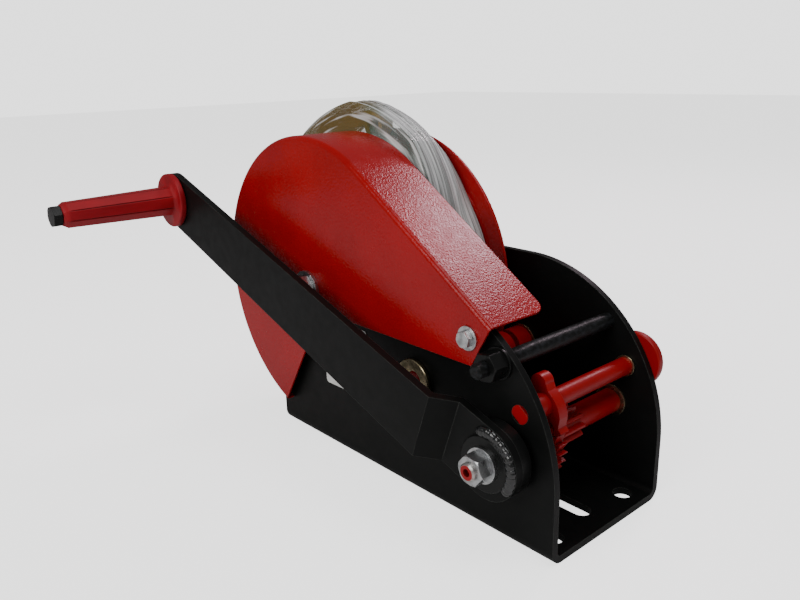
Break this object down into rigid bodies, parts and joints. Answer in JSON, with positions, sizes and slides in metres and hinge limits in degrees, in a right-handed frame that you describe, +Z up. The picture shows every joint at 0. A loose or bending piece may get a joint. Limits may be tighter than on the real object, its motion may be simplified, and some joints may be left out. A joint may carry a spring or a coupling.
{
  "type": "hand brake winch",
  "caption": "Hand winch in a bent channel frame: crank, ratchet brake, geared rope drum with stowed hook under film, and a gear guard.",
  "frame": {"origin": "middle of the base's underside, which is also the centre of the four mounting holes", "axes": "+X from the drum end to the crank end, +Y from the crank side to the far side, +Z up"},
  "size_m": [0.425, 0.2813, 0.2754],
  "materials": {
    "black_paint": "satin powder coat",
    "black_bar": "semi-gloss black, lightly marked",
    "red_paint": "gloss powder coat with fine orange peel",
    "gold_zinc": "yellow zinc plating",
    "zinc": "bright zinc plating",
    "gear_steel": "oiled machined steel",
    "rope_steel": "galvanised wire rope",
    "ferrule_aluminium": "pressed sleeve",
    "hook_yellow": "gloss yellow paint",
    "clear_film": "clear stretch film in creased layers",
    "white_label": "plain blank label",
    "red_grip": "moulded plastic with light scuffs",
    "friction_lining": "woven brake lining"
  },
  "bodies": {
    "frame": {"frame_channel": "black_paint", "near_bushes": "gold_zinc", "far_bushes": "gold_zinc", "tie_rod": "black_bar", "tie_rod_nut": "black_bar", "tie_rod_washer": "black_bar", "blank_plate": "white_label", "gear_cover": "red_paint", "cover_spacers": "zinc", "cover_bolt": "zinc", "cover_washer": "zinc", "axle_bolt": "zinc", "axle_washers": "zinc", "axle_nut": "zinc", "axle_sleeve": "zinc"},
    "drum": {"drum_barrel": "red_paint", "drum_hubs": "red_paint", "drum_bushes": "gold_zinc", "near_flange": "red_paint", "far_flange": "red_paint", "drum_gear": "gear_steel", "gear_rivets": "gear_steel", "rope_clamp": "zinc", "clamp_screws": "zinc", "rope_core": "rope_steel", "wire_rope": "rope_steel", "rope_loop": "rope_steel", "rope_ferrule": "ferrule_aluminium", "cargo_hook": "hook_yellow", "hook_latch": "zinc", "packing_film": "clear_film"},
    "countershaft": {"counter_shaft": "red_paint", "counter_gear": "gear_steel", "counter_pinion": "gear_steel", "counter_snap_ring": "gear_steel"},
    "drive": {"drive_shaft": "red_paint", "drive_pinion": "red_paint", "friction_discs": "friction_lining", "drive_snap_ring": "gear_steel", "crank_hub": "black_paint", "hub_nose": "black_paint", "hub_weld": "black_paint", "hub_washer": "zinc", "hub_nut": "zinc", "crank_arm": "black_paint", "grip_bolt": "black_bar", "grip_nut": "black_bar"},
    "ratchet": {"ratchet_wheel": "red_paint"},
    "grip": {"crank_grip": "red_grip"},
    "pawl": {"pawl": "red_paint", "pawl_rod": "red_paint", "pawl_sleeve": "red_paint", "pawl_collar": "gold_zinc", "release_lever": "red_paint"}
  },
  "joints": [
    {"name": "crank_spin", "type": "hinge", "parent": "frame", "child": "drive", "pos_m": [0.1095, 0, 0.0653], "axis": [0, -1, 0], "range_deg": [-3360, 5040]},
    {"name": "countershaft_spin", "type": "hinge", "parent": "frame", "child": "countershaft", "pos_m": [0.02484, 0, 0.0893], "axis": [0, -1, 0], "range_deg": [-720, 480]},
    {"name": "drum_spin", "type": "hinge", "parent": "frame", "child": "drum", "pos_m": [-0.09005, 0, 0.1353], "axis": [0, -1, 0], "range_deg": [-60, 90]},
    {"name": "ratchet_spin", "type": "hinge", "parent": "frame", "child": "ratchet", "pos_m": [0.1095, 0, 0.0653], "axis": [0, -1, 0], "continuous": true},
    {"name": "grip_spin", "type": "hinge", "parent": "drive", "child": "grip", "pos_m": [-0.25336, 0, 0.19095], "axis": [0, -1, 0], "continuous": true},
    {"name": "pawl_lift", "type": "hinge", "parent": "frame", "child": "pawl", "pos_m": [0.1196, 0, 0.095], "axis": [0, -1, 0], "range_deg": [0, 16]}
  ],
  "couplings": [
    {"joint": "countershaft_spin", "follows": "crank_spin", "ratio": -0.14286},
    {"joint": "drum_spin", "follows": "crank_spin", "ratio": 0.017857}
  ]
}
